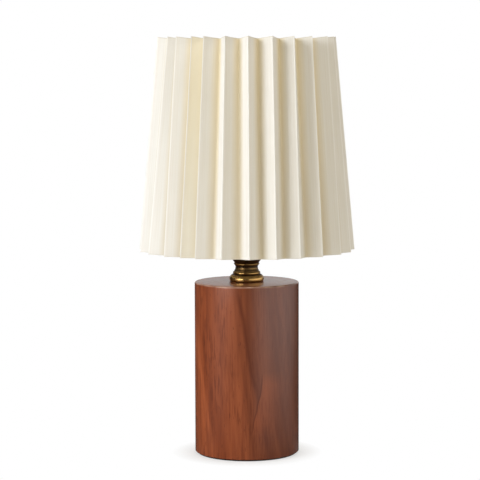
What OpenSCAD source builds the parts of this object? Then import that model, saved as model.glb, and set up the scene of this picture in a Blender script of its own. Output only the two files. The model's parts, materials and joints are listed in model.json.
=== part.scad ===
/* [Base] */
// Diameter of the turned wooden base
base_d = 96.5; // [84:0.5:130]
// Height of the wood's top face above the table
base_h = 160; // [120:1:170]
// Radius of the rounded top edge of the wood
base_edge_r = 1.5; // [0.5:0.5:6]
// Chamfer of the bottom edge of the wood
base_chamfer = 0.6; // [0.2:0.2:2]
// Thickness of the felt pad
pad_t = 1.4; // [1:0.2:3]
// Distance from the edge of the wood to the edge of the felt pad
pad_inset = 2.5; // [1:0.5:8]
// Diameter of the recess under the base
recess_d = 36; // [32:1:38]
// Depth of the recess under the base
recess_h = 24; // [22:1:40]

/* [Cord inlet] */
// Height of the cord inlet above the table
inlet_z = 12; // [11:0.5:14]
// Bore of the inlet bushing
inlet_bore_d = 6.6; // [5:0.2:7.4]
// Wall of the inlet bushing
bushing_wall = 1.5; // [1:0.1:2]
// Length of the bushing's stem inside the wood
bushing_l = 14; // [6:1:22]
// Diameter of the bushing's flange
flange_d = 15; // [13:0.5:18]
// Thickness of the bushing's flange
flange_t = 2; // [1:0.2:3]

/* [Threaded tube and nuts] */
// Outer diameter of the threaded tube
tube_d = 10; // [8:0.5:11]
// Bore of the threaded tube, where the leads run up
tube_bore_d = 7; // [4:0.5:7]
// How far the tube stands out below its nut
tube_end = 3; // [1:0.5:5]
// Width across the flats of the hexagon nuts
nut_af = 17; // [15:0.5:18]
// Height of the nut under the base
base_nut_h = 5; // [3:0.5:7]
// Height of the nut inside the neck's cup
neck_nut_h = 3.6; // [2.5:0.1:4]
// Outer diameter of the large washer under the base
washer_d = 29; // [24:1:31]
// Thickness of the large washer
washer_t = 1.6; // [1:0.1:2.5]
// Outer diameter of the spring washer
spring_washer_d = 17; // [15:0.5:20]
// Thickness of the spring washer
spring_washer_t = 2; // [1:0.2:2.6]

/* [Brass neck] */
// Height of the neck from the wood to the lip of its cup
neck_h = 27; // [26:0.5:34]
// Diameter of the swelling foot of the neck
foot_d = 32; // [28:0.5:40]
// Radius of the foot's rounded side
foot_round = 4.5; // [3:0.1:4.8]
// Diameter of the bead above the foot
bead_d = 25.5; // [24:0.5:27]
// Radius of the bead
bead_round = 1.5; // [1:0.1:1.6]
// Diameter of the waist
waist_d = 20.9; // [18:0.1:22]
// Height of the waist above the wood
waist_z = 12.8; // [12.2:0.1:14]
// Diameter of the lip of the cup
cup_d = 32; // [29:0.5:34]
// Height of the rounded lip of the cup
lip_h = 5; // [4:0.5:6]

/* [Lamp holder] */
// Height of the lamp holder above the neck
holder_h = 56; // [54:1:60]
// Diameter of the holder's foot, which stands on the cup
holder_foot_d = 28; // [25:0.5:30]
// Height of the holder's cap
cap_h = 20; // [19:0.5:22]
// Wall of the holder's cap
cap_wall = 1.8; // [1.2:0.1:2]
// Outer diameter of the holder's threaded skirt
skirt_d = 39.6; // [38.5:0.1:40.5]
// Diameter of the collar that carries the shade
collar_d = 44; // [42.5:0.5:46]
// Height of the collar
collar_h = 5; // [3:0.5:6]
// Depth of the boss that screws onto the tube
boss_h = 10; // [9:0.5:11]
// Diameter of that boss
boss_d = 18; // [16:0.5:20]
// Diameter of the locking screw in the boss
grub_d = 3; // [2.5:0.1:4]
// Diameter of the contact block
block_d = 35.2; // [34:0.2:35.6]
// Height of the contact block
block_h = 12; // [10:0.5:13]
// Outer diameter of the screw sleeve
sleeve_d = 28; // [27.8:0.1:28.4]
// Wall of the screw sleeve
sleeve_t = 0.6; // [0.4:0.05:0.6]
// Height of the screw sleeve
sleeve_h = 18; // [14:1:20]
// Diameter of the terminal screws
terminal_d = 3; // [2.5:0.5:4]

/* [Shade ring] */
// Height of the ring that clamps the shade
ring_h = 8; // [6:0.5:10]
// Diameter of the ring's flange
ring_flange_d = 56; // [50:1:60]
// Thickness of the ring's flange
ring_flange_t = 3; // [2:0.5:4]
// Diameter of the ring's hub
ring_hub_d = 47; // [44.5:0.5:49]
// Number of finger notches round the flange
ring_notches = 18; // [12:1:24]

/* [Shade] */
// Height of the shade's bottom edge above the table
shade_z = 189.8; // [186:0.2:194]
// Height of the shade
shade_h = 195.5; // [170:0.5:230]
// Diameter over the ridges at the bottom edge
shade_bottom_d = 200; // [180:1:240]
// Diameter over the ridges at the top edge
shade_top_d = 165; // [150:1:200]
// Depth of the pleats at the bottom edge
pleat_bottom = 11.5; // [8:0.1:14]
// Depth of the pleats at the top edge
pleat_top = 13.5; // [8:0.1:15]
// Number of pleats, with the two narrow ones at the seam
pleats = 25; // [20:1:30]
// Angle of the first narrow pleat at the seam
seam_a = 9.2; // [8:0.1:12]
// Angle of the second narrow pleat at the seam
seam_b = 11.1; // [8:0.1:12]
// Direction of the first ridge after the seam, from the front
first_ridge = -28.5; // [-60:0.5:60]
// Wall of the cover, measured towards the axis
cover_t = 1; // [0.8:0.1:1.4]
// How far the valleys lie below the ridges at the top edge
top_dip = 2.1; // [0:0.1:4]
// How far the valleys lie below the ridges at the bottom edge
bottom_dip = 0.6; // [0:0.1:2]
// Width of the blunt crease on each ridge
crease_w = 0.7; // [0.3:0.1:1.2]
// Width of the rounded crease in each valley
valley_w = 2.4; // [1:0.1:3]

/* [Shade frame] */
// Wire of the top and bottom rings
wire_d = 3; // [2:0.1:4]
// Wire of the upright ribs
rib_d = 2.4; // [1.6:0.1:3]
// Number of upright ribs
rib_count = 6; // [3:3:9]
// Wire of the fitter's arms
arm_d = 3; // [2:0.1:4]
// Outer diameter of the fitter's ring
fitter_d = 54; // [52:0.5:58]
// Thickness of the fitter's ring
fitter_t = 1.6; // [1:0.1:2.5]
// Height of the bottom ring above the shade's bottom edge
bottom_ring_rise = 4; // [3:0.5:8]
// Depth of the top ring below the shade's top edge
top_ring_drop = 6; // [5:0.5:10]

/* [Bulb] */
// Diameter of the bulb
bulb_d = 60; // [52:0.5:60]
// Length of the bulb with its cap
bulb_l = 105; // [104:0.5:114]
// Outer diameter of the bulb's screw cap
bulb_cap_d = 26.2; // [25.6:0.1:26.2]
// Length of the bulb's cap with its contact
bulb_cap_l = 27; // [25:0.5:27]
// Wall of the screw cap
bulb_cap_t = 0.4; // [0.3:0.05:0.5]
// Diameter of the glass neck above the cap
bulb_neck_d = 26.6; // [26.2:0.1:27.4]
// Wall of the glass
glass_t = 1; // [0.7:0.1:1.2]
// Diameter of the glass stem's post
stem_d = 6; // [4:0.5:8]
// Number of light filaments
filaments = 4; // [3:1:6]
// Diameter of a filament
filament_d = 2.2; // [1.6:0.1:2.6]
// Length of a filament
filament_l = 36; // [28:1:38]
// Diameter of the filaments' lead wires
lead_d = 0.6; // [0.5:0.05:0.8]

/* [Clearances] */
// Gap between pieces that move past each other
run_gap = 0.3; // [0.2:0.05:0.4]
// Gap of a piece in its bore or thread
fit_gap = 0.05; // [0.02:0.01:0.1]

/* [Hidden] */
$fn = 96;

base_r = base_d / 2;
recess_top = pad_t + recess_h;
washer_z = recess_top - washer_t;
spring_washer_z = washer_z - spring_washer_t;
base_nut_z = spring_washer_z - base_nut_h;
tube_r = tube_d / 2;
tube_bottom = base_nut_z - tube_end;
thread_r = tube_r + fit_gap;
tube_hole_r = tube_r + run_gap;

stem_r = inlet_bore_d / 2 + bushing_wall;
spot_face_r = flange_d / 2 + run_gap;
spot_face_y = sqrt(pow(base_r, 2) - pow(spot_face_r, 2)) - run_gap;

neck_top = base_h + neck_h;
cup_bore_r = nut_af / sqrt(3) + 2 * run_gap;
cup_floor = neck_top - neck_nut_h - 1.4;
waist_groove = 0.35;
waist_groove_z = waist_z + 1.3;
cove_r = 3;
flare_r = 6;
flare_angle = 26;
flare_start = 15;

cap_r = collar_d / 2 - 0.5;
cap_floor = 3;
ledge_z = neck_top + cap_h - 5;
tube_top = neck_top + boss_h;
grub_z = neck_top + boss_h - 3.4;
grub_l = boss_d / 2 - thread_r - 0.4;
driver_hole_r = grub_d / 2 + 0.8;
collar_z = neck_top + cap_h;
collar_top = collar_z + collar_h;
skirt_r = skirt_d / 2;
skirt_top = neck_top + holder_h;
block_r = block_d / 2;
block_hole_r = block_r + run_gap / 2;
block_top = ledge_z + block_h;
sleeve_r = sleeve_d / 2;
spigot_r = cap_r - cap_wall - fit_gap;
skirt_inner_r = block_r - 0.8;
mouth_r = sleeve_r + 2 * run_gap;
mouth_flare = 1.2;
lip_t = 3;
contact_rise = 3;
contact_w = 5;
contact_t = 0.6;
strap_t = 0.6;
strap_w = 5;
terminal_x = 9;
terminal_depth = 6;
terminal_head_r = terminal_d / 2 + 1.2;
terminal_head_h = 2;

fitter_z = collar_top + run_gap;
fitter_hole_r = skirt_r + 2 * run_gap;
fitter_r = fitter_d / 2;
ring_z = fitter_z + fitter_t + run_gap;
ring_hole_r = skirt_r + run_gap;

shade_top = shade_z + shade_h;
bottom_ring_z = shade_z + bottom_ring_rise;
top_ring_z = shade_top - top_ring_drop;
wire_r = wire_d / 2;
weld_gap = 0.03;
arm_start_r = collar_d / 2 + 1.2;
arm_angles = [90, 210, 330];
cover_levels = 3;

tip_z = block_top + contact_rise + run_gap;
bulb_r = bulb_d / 2;
bulb_top = tip_z + bulb_l;
bulb_centre = bulb_top - bulb_r;
bulb_cap_r = bulb_cap_d / 2;
bulb_cap_top = tip_z + bulb_cap_l;
bulb_cap_bottom = tip_z + 4;
tip_r = 4.75;
tip_h = 1.5;
glass_blend = 40;
glass_neck_r = bulb_neck_d / 2;
glass_cove_r = (bulb_r * cos(glass_blend) - glass_neck_r) / (1 - cos(glass_blend));
glass_cove_z = bulb_centre - (bulb_r + glass_cove_r) * sin(glass_blend);
glass_seat_r = bulb_cap_r - bulb_cap_t - fit_gap;
glass_seat_z = bulb_cap_top - 5;
stem_rise = 2;
stem_top = bulb_centre + stem_rise;
filament_gap = 4.5;
filament_spread = 3;
lead_drop = 4;
lead_bite = 0.5;
filament_z = bulb_centre - filament_l / 2;
filament_top = filament_z + filament_l;
filament_low_r = stem_d / 2 + filament_gap;
filament_high_r = filament_low_r + filament_spread;

function arc(x, z, r, from, to, steps) =
    [for (i = [0 : steps]) let (a = from + (to - from) * i / steps) [x + r * cos(a), z + r * sin(a)]];

// A straight rod between two points
module rod(p, q, d) {
    span = q - p;
    translate(p)
        rotate([0, acos(span[2] / norm(span)), atan2(span[1], span[0])])
            cylinder(h = norm(span), d = d);
}

// A flat round ring
module washer(outer_r, inner_r, h) {
    difference() {
        cylinder(r = outer_r, h = h);
        translate([0, 0, -1])
            cylinder(r = inner_r, h = h + 2);
    }
}

// A ring of round wire
module wire_ring(r, wire) {
    rotate_extrude()
        translate([r, 0])
            circle(r = wire);
}

// A hexagon nut, chamfered on the side that faces away from its seat
module hex_nut(h, seat_below) {
    nut_r = nut_af / sqrt(3);
    difference() {
        intersection() {
            cylinder(r = nut_r, h = h, $fn = 6);
            translate([0, 0, seat_below ? 0 : h])
                mirror([0, 0, seat_below ? 0 : 1])
                    cylinder(r1 = nut_af / 2 + h, r2 = nut_af / 2 + 0.2, h = h);
        }
        translate([0, 0, -1])
            cylinder(r = thread_r, h = h + 2);
    }
}

module base_pad() {
    color([0.16, 0.14, 0.13])
        cylinder(r = base_r - pad_inset, h = pad_t);
}

module wood_base() {
    outline = concat(
        [[0, pad_t], [base_r - base_chamfer, pad_t], [base_r, pad_t + base_chamfer]],
        arc(base_r - base_edge_r, base_h - base_edge_r, base_edge_r, 0, 90, 8),
        [[0, base_h]]
    );
    color([0.42, 0.22, 0.14])
        difference() {
            rotate_extrude()
                polygon(outline);
            cylinder(r = tube_hole_r, h = base_h + 1);
            cylinder(d = recess_d, h = recess_top);
            translate([0, recess_d / 2 - 2, inlet_z])
                rotate([-90, 0, 0])
                    cylinder(r = stem_r + fit_gap, h = base_r);
            translate([0, spot_face_y, inlet_z])
                rotate([-90, 0, 0])
                    cylinder(r = spot_face_r, h = base_r);
        }
}

module cord_bushing() {
    color([0.30, 0.20, 0.13])
        translate([0, spot_face_y, inlet_z])
            rotate([-90, 0, 0])
                difference() {
                    union() {
                        cylinder(d = flange_d, h = flange_t);
                        translate([0, 0, -bushing_l])
                            cylinder(r = stem_r, h = bushing_l + flange_t / 2);
                    }
                    translate([0, 0, -bushing_l - 1])
                        cylinder(d = inlet_bore_d, h = bushing_l + flange_t + 2);
                }
}

module base_washer() {
    color([0.70, 0.70, 0.68])
        translate([0, 0, washer_z])
            washer(washer_d / 2, tube_hole_r, washer_t);
}

module spring_washer() {
    split_w = 1.2;
    color([0.55, 0.55, 0.53])
        translate([0, 0, spring_washer_z])
            difference() {
                washer(spring_washer_d / 2, tube_hole_r, spring_washer_t);
                translate([0, -split_w / 2, -1])
                    cube([spring_washer_d, split_w, spring_washer_t + 2]);
            }
}

module base_nut() {
    color([0.72, 0.60, 0.30])
        translate([0, 0, base_nut_z])
            hex_nut(base_nut_h, false);
}

module threaded_tube() {
    color([0.62, 0.61, 0.58])
        translate([0, 0, tube_bottom])
            washer(tube_r, tube_bore_d / 2, tube_top - tube_bottom);
}

module brass_neck() {
    foot_x = foot_d / 2 - foot_round;
    foot_z = 0.58 * foot_round;
    bead_x = bead_d / 2 - bead_round;
    bead_z = foot_z + foot_round + 1.1;
    waist_r = waist_d / 2;
    lip_r = lip_h / 2;
    lip_z = neck_h - lip_r;
    outline = concat(
        [[tube_hole_r, 0], [foot_x + foot_round * cos(30), 0]],
        arc(foot_x, foot_z, foot_round, -30, 66, 12),
        arc(bead_x, bead_z, bead_round, -60, 80, 8),
        arc(waist_r + cove_r, waist_z, cove_r, 220, 185, 5),
        [[waist_r, waist_groove_z - waist_groove], [waist_r - waist_groove, waist_groove_z]],
        arc(waist_r + flare_r, waist_z, flare_r, 180 - flare_start, 180 - flare_angle, 4),
        arc(cup_d / 2 - lip_r, lip_z, lip_r, -60, 90, 8),
        [[cup_bore_r, neck_h], [cup_bore_r, cup_floor - base_h], [tube_hole_r, cup_floor - base_h]]
    );
    color([0.45, 0.31, 0.12])
        translate([0, 0, base_h])
            rotate_extrude()
                polygon(outline);
}

module neck_nut() {
    color([0.72, 0.60, 0.30])
        translate([0, 0, cup_floor])
            hex_nut(neck_nut_h, true);
}

module holder_cap() {
    shoulder_r = 7;
    foot_r = holder_foot_d / 2;
    inner_r = block_r - 1.2;
    top_inner_r = cap_r - cap_wall;
    z_ledge = ledge_z - neck_top;
    outline = concat(
        [[thread_r, 0], [foot_r, 0], [foot_r, 1.5]],
        arc(cap_r - shoulder_r, z_ledge - shoulder_r + 2, shoulder_r, -40, 0, 6),
        [[cap_r, cap_h], [top_inner_r, cap_h], [top_inner_r, z_ledge], [inner_r, z_ledge]],
        [[inner_r, boss_h], [foot_r - cap_wall - 0.5, cap_floor], [boss_d / 2, cap_floor]],
        [[boss_d / 2, boss_h], [thread_r, boss_h]]
    );
    color([0.12, 0.11, 0.10])
        difference() {
            translate([0, 0, neck_top])
                rotate_extrude()
                    polygon(outline);
            translate([0, 0, grub_z])
                rotate([-90, 0, 0])
                    cylinder(r = grub_d / 2 + fit_gap, h = boss_d);
            translate([0, boss_d / 2 + 0.5, grub_z])
                rotate([-90, 0, 0])
                    cylinder(r = driver_hole_r, h = collar_d);
        }
}

module grub_screw() {
    socket_d = grub_d * 0.5;
    color([0.35, 0.35, 0.36])
        translate([0, thread_r + 0.1, grub_z])
            rotate([-90, 0, 0])
                difference() {
                    cylinder(d = grub_d, h = grub_l);
                    translate([0, 0, grub_l - 1.6])
                        cylinder(d = socket_d, h = 2, $fn = 6);
                }
}

module contact_block() {
    key_w = 4;
    color([0.93, 0.91, 0.86])
        difference() {
            translate([0, 0, ledge_z])
                cylinder(r = block_r, h = block_h);
            for (side = [-1, 1])
                translate([side * terminal_x, 0, ledge_z - 1])
                    cylinder(r = terminal_d / 2 + fit_gap, h = terminal_depth + 1.5);
            translate([-key_w / 2, -block_r - 1, ledge_z - 1])
                cube([key_w, 3, block_h + 2]);
        }
}

module terminal_screws() {
    slot_w = 0.7;
    color([0.78, 0.66, 0.36])
        for (side = [-1, 1])
            translate([side * terminal_x, 0, ledge_z])
                difference() {
                    union() {
                        translate([0, 0, -terminal_head_h])
                            cylinder(r = terminal_head_r, h = terminal_head_h);
                        translate([0, 0, -0.5])
                            cylinder(d = terminal_d, h = terminal_depth + 0.5);
                    }
                    translate([-terminal_head_r - 1, -slot_w / 2, -terminal_head_h - 1])
                        cube([2 * terminal_head_r + 2, slot_w, 1.8]);
                }
}

module centre_contact() {
    root_x = -9;
    pad_x = 3;
    profile = [
        [root_x, 0], [root_x + 4, 0], [-pad_x + 1, contact_rise - contact_t],
        [pad_x, contact_rise - contact_t], [pad_x, contact_rise], [-pad_x + 0.7, contact_rise],
        [root_x + 3.7, contact_t], [root_x, contact_t]
    ];
    color([0.80, 0.65, 0.32])
        translate([0, contact_w / 2, block_top])
            rotate([90, 0, 0])
                linear_extrude(contact_w)
                    polygon(profile);
}

module side_strap() {
    inner_r = sleeve_r - sleeve_t - fit_gap - strap_t;
    color([0.80, 0.65, 0.32])
        translate([0, 0, block_top])
            intersection() {
                washer(inner_r + strap_t, inner_r, contact_rise);
                translate([0, -strap_w / 2, 0])
                    cube([sleeve_d, strap_w, contact_rise]);
            }
}

module screw_sleeve() {
    color([0.80, 0.65, 0.32])
        translate([0, 0, block_top])
            washer(sleeve_r, sleeve_r - sleeve_t, sleeve_h);
}

module holder_skirt() {
    spigot_z = ledge_z + run_gap;
    outline = [
        [block_hole_r, spigot_z], [spigot_r, spigot_z], [spigot_r, collar_z],
        [collar_d / 2, collar_z], [collar_d / 2, collar_top], [skirt_r, collar_top],
        [skirt_r, skirt_top - 0.8], [skirt_r - 0.8, skirt_top],
        [mouth_r + mouth_flare, skirt_top], [mouth_r, skirt_top - mouth_flare],
        [mouth_r, skirt_top - lip_t], [skirt_inner_r, skirt_top - lip_t],
        [skirt_inner_r, block_top + fit_gap], [block_hole_r, block_top + fit_gap]
    ];
    color([0.12, 0.11, 0.10])
        rotate_extrude()
            polygon(outline);
}

module shade_ring() {
    notch_r = 1.2;
    color([0.12, 0.11, 0.10])
        translate([0, 0, ring_z])
            difference() {
                union() {
                    cylinder(d = ring_flange_d, h = ring_flange_t);
                    cylinder(d = ring_hub_d, h = ring_h);
                }
                translate([0, 0, -1])
                    cylinder(r = ring_hole_r, h = ring_h + 2);
                for (i = [0 : ring_notches - 1])
                    rotate(360 / ring_notches * i)
                        translate([ring_flange_d / 2 + notch_r * 0.4, 0, -1])
                            cylinder(r = notch_r, h = ring_flange_t + 2, $fn = 24);
            }
}

// The shade's outline: ridges stand out, valleys lie back, all folds run from edge to edge
ridge_pitch = (360 - seam_a - seam_b) / (pleats - 2);
ridges = concat(
    [for (k = [0 : pleats - 2]) first_ridge + ridge_pitch * k],
    [360 + first_ridge - seam_a]
);
function valley_after(i) = (ridges[i] + (i == pleats - 1 ? 360 + first_ridge : ridges[i + 1])) / 2;
function mix(a, b, t) = a + (b - a) * t;
function ridge_r(z) = mix(shade_bottom_d, shade_top_d, (z - shade_z) / shade_h) / 2;
function valley_r(z) = ridge_r(z) - mix(pleat_bottom, pleat_top, (z - shade_z) / shade_h);
function ring_r(z, wire) = valley_r(z) - cover_t - run_gap - wire * 1.1;

// Each fold as [direction, depth]: depth 0 is a ridge, 1 is the bottom of a valley
crease_a = crease_w / shade_bottom_d * 360 / PI / 2;
valley_a = valley_w / shade_bottom_d * 360 / PI / 2;
valley_soft = 0.93;
folds = [
    for (i = [0 : pleats - 1]) let (v = valley_after(i)) each [
        [ridges[i] - crease_a, 0],
        [ridges[i] + crease_a, 0],
        [v - valley_a, valley_soft],
        [v, 1],
        [v + valley_a, valley_soft]
    ]
];
fold_n = len(folds);

function cover_point(fold, level, inset) =
    let (t = level / cover_levels)
    let (ridge = mix(shade_bottom_d, shade_top_d, t) / 2)
    let (r = ridge - fold[1] * mix(pleat_bottom, pleat_top, t) - inset)
    [
        r * sin(fold[0]),
        -r * cos(fold[0]),
        shade_z + shade_h * t - fold[1] * mix(bottom_dip, top_dip, t)
    ];

module pleated_cover() {
    layer = (cover_levels + 1) * fold_n;
    points = [
        for (inset = [0, cover_t]) for (level = [0 : cover_levels]) for (fold = folds)
            cover_point(fold, level, inset)
    ];
    walls = [
        for (level = [0 : cover_levels - 1]) for (i = [0 : fold_n - 1])
            let (a = level * fold_n + i, b = level * fold_n + (i + 1) % fold_n)
            each [
                [a, a + fold_n, b + fold_n],
                [a, b + fold_n, b],
                [layer + a, layer + b + fold_n, layer + a + fold_n],
                [layer + a, layer + b, layer + b + fold_n]
            ]
    ];
    edges = [
        for (i = [0 : fold_n - 1])
            let (a = i, b = (i + 1) % fold_n, up = cover_levels * fold_n)
            each [
                [a, b, layer + b],
                [a, layer + b, layer + a],
                [up + a, layer + up + b, up + b],
                [up + a, layer + up + a, layer + up + b]
            ]
    ];
    color([0.96, 0.93, 0.84])
        polyhedron(points = points, faces = concat(walls, edges));
}

module bottom_ring() {
    color([0.93, 0.92, 0.88])
        translate([0, 0, bottom_ring_z])
            wire_ring(ring_r(bottom_ring_z, wire_r), wire_r);
}

module top_ring() {
    color([0.93, 0.92, 0.88])
        translate([0, 0, top_ring_z])
            wire_ring(ring_r(top_ring_z, wire_r), wire_r);
}

module frame_ribs() {
    color([0.93, 0.92, 0.88])
        difference() {
            for (i = [0 : rib_count - 1])
                rotate(arm_angles[0] + 360 / rib_count * (i + 0.5))
                    rod(
                        [ring_r(bottom_ring_z, wire_r), 0, bottom_ring_z],
                        [ring_r(top_ring_z, wire_r), 0, top_ring_z],
                        rib_d
                    );
            translate([0, 0, bottom_ring_z])
                wire_ring(ring_r(bottom_ring_z, wire_r), wire_r + weld_gap);
            translate([0, 0, top_ring_z])
                wire_ring(ring_r(top_ring_z, wire_r), wire_r + weld_gap);
        }
}

module fitter_arms() {
    start = [arm_start_r + arm_d / 2, 0, fitter_z - arm_d / 2 + 0.3];
    end = [ring_r(bottom_ring_z, wire_r), 0, bottom_ring_z];
    color([0.93, 0.92, 0.88])
        difference() {
            for (a = arm_angles)
                rotate(a)
                    rod(start, end, arm_d);
            translate([0, 0, fitter_z - weld_gap])
                cylinder(r = fitter_r + 1, h = 10);
            translate([0, 0, bottom_ring_z])
                wire_ring(ring_r(bottom_ring_z, wire_r), wire_r + weld_gap);
        }
}

module fitter_ring() {
    color([0.93, 0.92, 0.88])
        translate([0, 0, fitter_z])
            washer(fitter_r, fitter_hole_r, fitter_t);
}

module bulb_contact() {
    color([0.75, 0.75, 0.72])
        translate([0, 0, tip_z])
            rotate_extrude()
                polygon([[0, 0], [tip_r * 0.6, 0], [tip_r, tip_h * 0.6], [tip_r, tip_h], [0, tip_h]]);
}

module bulb_insulator() {
    seat_r = bulb_cap_r - bulb_cap_t - 2 * fit_gap;
    outline = [
        [0, tip_z + tip_h], [tip_r + 1, tip_z + tip_h], [seat_r - 1.6, bulb_cap_bottom - 0.4],
        [seat_r, bulb_cap_bottom], [seat_r, bulb_cap_bottom + 1.5], [0, bulb_cap_bottom + 1.5]
    ];
    color([0.08, 0.08, 0.10])
        rotate_extrude()
            polygon(outline);
}

module bulb_cap() {
    color([0.78, 0.78, 0.75])
        translate([0, 0, bulb_cap_bottom])
            washer(bulb_cap_r, bulb_cap_r - bulb_cap_t, bulb_cap_top - bulb_cap_bottom);
}

module bulb_glass() {
    cove_x = glass_neck_r + glass_cove_r;
    neck_z = bulb_cap_top + fit_gap;
    inner = glass_seat_r - glass_t;
    outline = concat(
        [[inner, glass_seat_z], [glass_seat_r, glass_seat_z]],
        [[glass_seat_r, neck_z], [glass_neck_r, neck_z]],
        arc(cove_x, glass_cove_z, glass_cove_r, 180, 180 - glass_blend, 8),
        arc(0, bulb_centre, bulb_r, -glass_blend + 6, 90, 20),
        arc(0, bulb_centre, bulb_r - glass_t, 90, -glass_blend + 6, 20),
        arc(cove_x, glass_cove_z, glass_cove_r + glass_t, 180 - glass_blend, 180, 8),
        [[glass_neck_r - glass_t, neck_z + 1], [inner, neck_z]]
    );
    color([0.90, 0.93, 0.95, 0.4])
        rotate_extrude()
            polygon(outline);
}

// The outline of the stem: a flare sealed into the glass neck, and a post with a round top
function stem_outline(grow) =
    let (flare_r = glass_seat_r - glass_t - fit_gap, post_r = stem_d / 2 + grow)
    concat(
        [[0, glass_seat_z], [flare_r, glass_seat_z], [flare_r, glass_seat_z + 2]],
        [[post_r + 1.5, glass_seat_z + 9], [post_r, glass_seat_z + 14]],
        arc(0, stem_top - stem_d / 2, post_r, 0, 90, 6)
    );

module bulb_stem() {
    color([0.88, 0.92, 0.94, 0.5])
        rotate_extrude()
            polygon(stem_outline(0));
}

module filament_rods(grow) {
    for (i = [0 : filaments - 1])
        rotate(360 / filaments * i + 45)
            rod(
                [filament_low_r, 0, filament_z - grow],
                [filament_high_r, 0, filament_top + grow],
                filament_d + 2 * grow
            );
}

module led_filaments() {
    color([0.95, 0.80, 0.30])
        filament_rods(0);
}

module filament_leads() {
    color([0.70, 0.70, 0.68])
        difference() {
            for (i = [0 : filaments - 1])
                rotate(360 / filaments * i + 45) {
                    rod(
                        [0, 0, filament_z - lead_drop],
                        [filament_low_r, 0, filament_z + lead_bite],
                        lead_d
                    );
                    rod(
                        [0, 0, stem_top - stem_d / 4],
                        [filament_high_r, 0, filament_top - lead_bite],
                        lead_d
                    );
                }
            rotate_extrude()
                polygon(stem_outline(weld_gap));
            filament_rods(weld_gap);
        }
}

base_pad();
wood_base();
cord_bushing();
base_washer();
spring_washer();
base_nut();
threaded_tube();
brass_neck();
neck_nut();
holder_cap();
grub_screw();
contact_block();
terminal_screws();
centre_contact();
side_strap();
screw_sleeve();
holder_skirt();
shade_ring();
fitter_ring();
fitter_arms();
bottom_ring();
top_ring();
frame_ribs();
pleated_cover();
bulb_contact();
bulb_insulator();
bulb_cap();
bulb_glass();
bulb_stem();
filament_leads();
led_filaments();
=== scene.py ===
# %% [markdown]
# # A pleated table lamp
# The lamp is a turned wooden column, an aged brass neck, a lamp holder and a tapered shade of
# pleated cloth on a wire frame. Every solid arrives at its real place and size in one packed
# model. Here each visible surface gets its looks: some pieces keep their solid and only get a
# finish, and others are modelled again with finer folds, rounder edges and threads.

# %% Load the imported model
import json
import math
import random

import bpy
from mathutils import Matrix, Vector


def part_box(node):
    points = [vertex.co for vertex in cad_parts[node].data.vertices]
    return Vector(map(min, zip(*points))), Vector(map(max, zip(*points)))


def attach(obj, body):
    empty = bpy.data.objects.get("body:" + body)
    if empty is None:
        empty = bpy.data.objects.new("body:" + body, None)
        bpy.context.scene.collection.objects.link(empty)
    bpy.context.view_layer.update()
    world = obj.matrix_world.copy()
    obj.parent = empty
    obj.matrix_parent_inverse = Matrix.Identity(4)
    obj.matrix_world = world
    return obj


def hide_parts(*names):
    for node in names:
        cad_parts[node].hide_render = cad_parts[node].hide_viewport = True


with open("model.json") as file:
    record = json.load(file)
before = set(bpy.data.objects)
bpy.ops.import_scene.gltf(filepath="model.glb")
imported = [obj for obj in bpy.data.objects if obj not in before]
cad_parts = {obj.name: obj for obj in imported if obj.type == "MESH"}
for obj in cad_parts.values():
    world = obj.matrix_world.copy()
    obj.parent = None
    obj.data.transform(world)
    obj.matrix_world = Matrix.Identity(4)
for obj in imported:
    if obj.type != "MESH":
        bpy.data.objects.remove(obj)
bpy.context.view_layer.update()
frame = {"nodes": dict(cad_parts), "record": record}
MM = 0.001

# %% [markdown]
# Blender's operators act on whatever is selected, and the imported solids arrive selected. So a
# script needs a habit that a hand has by itself: deselect everything, then pick one thing.


# %% Pick, name and settle an object
def pick(piece):
    """Deselect everything, then select one object and make it the active one."""
    bpy.ops.object.select_all(action="DESELECT")
    piece.select_set(True)
    bpy.context.view_layer.objects.active = piece


def adopt(name):
    """Name the object that the last operator added."""
    piece = bpy.context.object
    piece.name = name
    piece.data.name = name
    return piece


def settle(piece):
    """Put the object's place, turn and scale into its mesh."""
    pick(piece)
    bpy.ops.object.transform_apply(location=True, rotation=True, scale=True)
    return piece


def edit_faces(piece, chosen):
    """Open a piece in edit mode with only the faces selected for which chosen(face) is true."""
    pick(piece)
    bpy.ops.object.mode_set(mode="EDIT")
    bpy.ops.mesh.select_mode(type="FACE")
    bpy.ops.mesh.select_all(action="DESELECT")
    bpy.ops.object.mode_set(mode="OBJECT")
    for face in piece.data.polygons:
        face.select = chosen(face)
    bpy.ops.object.mode_set(mode="EDIT")


def apply_modifier(piece, kind, **settings):
    """Add one modifier with its settings and apply it."""
    pick(piece)
    bpy.ops.object.modifier_add(type=kind)
    modifier = piece.modifiers[-1]
    for key, value in settings.items():
        setattr(modifier, key, value)
    bpy.ops.object.modifier_apply(modifier=modifier.name)
    return piece


# %% [markdown]
# The camera stands where the photograph was taken from: 1.8 m in front of the lamp, a little
# below the top of the shade, with a long lens that looks down by five degrees. The outline of
# the shade and the ellipses of the base settle these numbers.

# %% The camera
CAMERA_PLACE = Vector((-0.0061, -1.7940, 0.3653))
CAMERA_PITCH = 0.0928
CAMERA_ROLL = 0.0027
CAMERA_LENS_MM = 146.0
SENSOR_MM = 36

bpy.ops.object.camera_add()
camera = adopt("Photo_camera")
camera.matrix_world = (
    Matrix.Translation(CAMERA_PLACE)
    @ Matrix.Rotation(math.pi / 2 - CAMERA_PITCH, 4, "X")
    @ Matrix.Rotation(-CAMERA_ROLL, 4, "Z")
)
camera.data.lens = CAMERA_LENS_MM
camera.data.sensor_width = SENSOR_MM
camera.data.sensor_fit = "HORIZONTAL"
bpy.context.scene.camera = camera
bpy.context.scene.view_settings.view_transform = "Standard"


# %% [markdown]
# Materials and the world are trees of nodes. One helper adds a node, sets it and wires its
# inputs, so that each finish further down reads like a recipe.


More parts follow.
